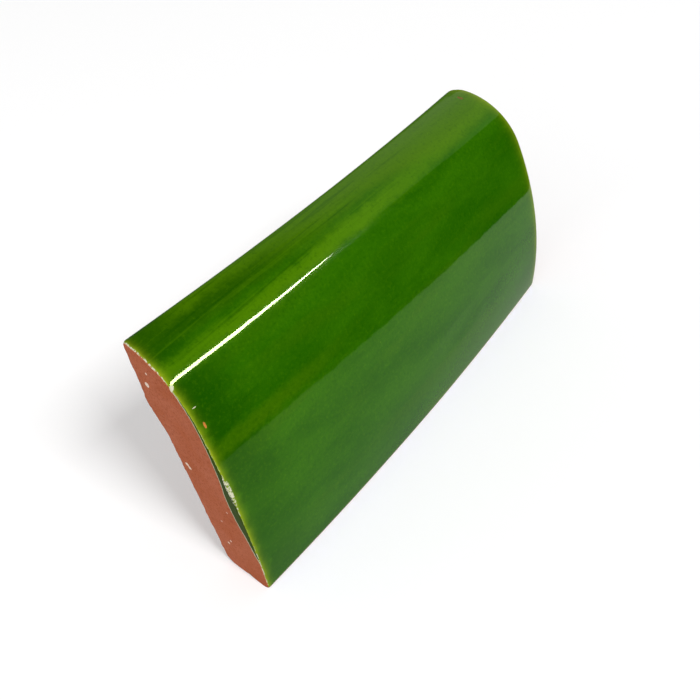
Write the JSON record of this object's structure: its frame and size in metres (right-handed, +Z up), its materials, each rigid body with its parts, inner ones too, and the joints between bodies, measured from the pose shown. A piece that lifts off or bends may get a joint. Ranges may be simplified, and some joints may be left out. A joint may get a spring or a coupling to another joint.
{
  "type": "ceramic trim tile",
  "caption": "Thick curved trim tile in bottle-green glazed terracotta, with a level foot and a narrow top butt, for finishing the edge of a tiled wall.",
  "frame": {"origin": "on the level of the foot, in the middle of the tile's length and depth", "axes": "+X along the tile, +Y from the glazed side towards the wall, +Z up, with the tile standing on its foot"},
  "size_m": [0.15, 0.0312, 0.0791],
  "materials": {
    "glazed_clay": "gloss"
  },
  "bodies": {
    "root": {"tile": "glazed_clay"}
  },
  "joints": []
}
